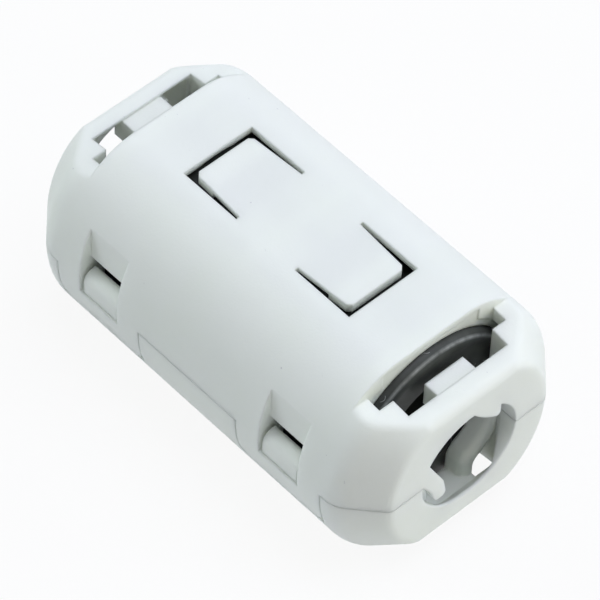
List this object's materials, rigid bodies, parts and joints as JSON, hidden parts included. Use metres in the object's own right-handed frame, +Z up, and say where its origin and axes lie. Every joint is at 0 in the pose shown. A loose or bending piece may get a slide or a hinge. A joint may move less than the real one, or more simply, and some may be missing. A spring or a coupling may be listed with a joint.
{
  "type": "clip-on ferrite bead",
  "caption": "Clip-on ferrite bead for a round cable: a hinged white case with windows, spring tongues, latches and gripping claws around a split dark ferrite core.",
  "frame": {"origin": "centre of the cable hole, halfway along the case, on the parting plane", "axes": "+X along the cable hole, +Y towards the living hinge, +Z up through the lid"},
  "size_m": [0.035, 0.0201, 0.0174],
  "materials": {
    "case": "off-white nylon with a faint matte texture",
    "core": "dark grey sintered ferrite, dull with a few scratches"
  },
  "bodies": {
    "lower_half": {"lower_case": "case", "lower_core": "core", "front_latch_hook": "case", "rear_latch_hook": "case", "front_hinge_strap": "case", "rear_hinge_strap": "case"},
    "upper_half": {"upper_case": "case", "upper_core": "core"}
  },
  "joints": [
    {"name": "lid_hinge", "type": "hinge", "parent": "lower_half", "child": "upper_half", "pos_m": [0, 0.01006, 0], "axis": [-1, 0, 0], "range_deg": [0, 175], "deforming": ["front_latch_hook", "rear_latch_hook", "front_hinge_strap", "rear_hinge_strap"]}
  ]
}
